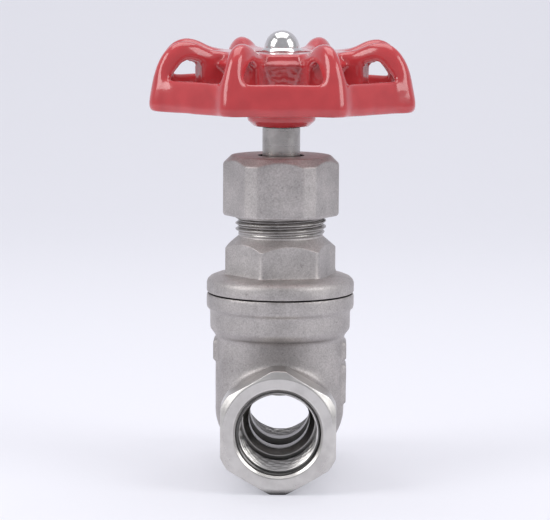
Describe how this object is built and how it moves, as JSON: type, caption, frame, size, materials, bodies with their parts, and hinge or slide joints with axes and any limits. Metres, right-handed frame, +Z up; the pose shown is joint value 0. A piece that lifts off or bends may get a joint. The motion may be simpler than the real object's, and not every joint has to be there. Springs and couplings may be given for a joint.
{
  "type": "gate valve",
  "caption": "Screwed-end gate valve: cast body with hexagonal pipe ends, screwed bonnet, gland nut and a red lobed handwheel whose fixed-height stem raises a tapered gate.",
  "frame": {"origin": "on the surface the valve stands on, below the stem axis", "axes": "+Z up along the stem axis to the handwheel, +Y along the pipe axis out of the rear pipe end, +X to the right seen from the front pipe end"},
  "size_m": [0.0674, 0.0674, 0.1134],
  "materials": {
    "cast_stainless": "fine blasted investment casting, matte",
    "machined_stainless": "turned, satin",
    "polished_stainless": "polished",
    "red_enamel": "thick glossy enamel",
    "ptfe": "waxy white",
    "graphite_sheet": "dull black"
  },
  "bodies": {
    "valve": {"valve_body": "cast_stainless", "seat_ring_front": "machined_stainless", "seat_ring_rear": "machined_stainless", "bonnet": "cast_stainless", "bonnet_gasket": "graphite_sheet", "stem_thrust_washer": "ptfe", "packing_washer": "machined_stainless", "packing_ring_lower": "ptfe", "packing_ring_middle": "ptfe", "packing_ring_upper": "ptfe"},
    "gate": {"gate_wedge": "machined_stainless"},
    "spindle": {"stem": "machined_stainless", "handwheel": "red_enamel", "handwheel_washer": "machined_stainless", "cap_nut": "polished_stainless"},
    "gland_press": {"gland_follower": "machined_stainless"},
    "gland_nut": {"gland_nut": "cast_stainless"}
  },
  "joints": [
    {"name": "handwheel_turn", "type": "hinge", "parent": "valve", "child": "spindle", "pos_m": [0, 0, 0.0943], "axis": [0, 0, 1], "range_deg": [-2655, 540]},
    {"name": "gate_lift", "type": "slide", "parent": "valve", "child": "gate", "axis": [0, 0, 1], "range_m": [-0.01475, 0.003]},
    {"name": "gland_nut_turn", "type": "hinge", "parent": "gland_press", "child": "gland_nut", "pos_m": [0, 0, 0.0665], "axis": [0, 0, 1], "range_deg": [-240, 0]},
    {"name": "gland_follower_press", "type": "slide", "parent": "valve", "child": "gland_press", "axis": [0, 0, 1], "range_m": [-0.001, 0], "deforming": ["packing_ring_lower", "packing_ring_middle", "packing_ring_upper"]}
  ],
  "couplings": [
    {"joint": "gate_lift", "follows": "handwheel_turn", "m_per_rad": 0.00031831},
    {"joint": "gland_follower_press", "follows": "gland_nut_turn", "m_per_rad": 0.00023873}
  ]
}
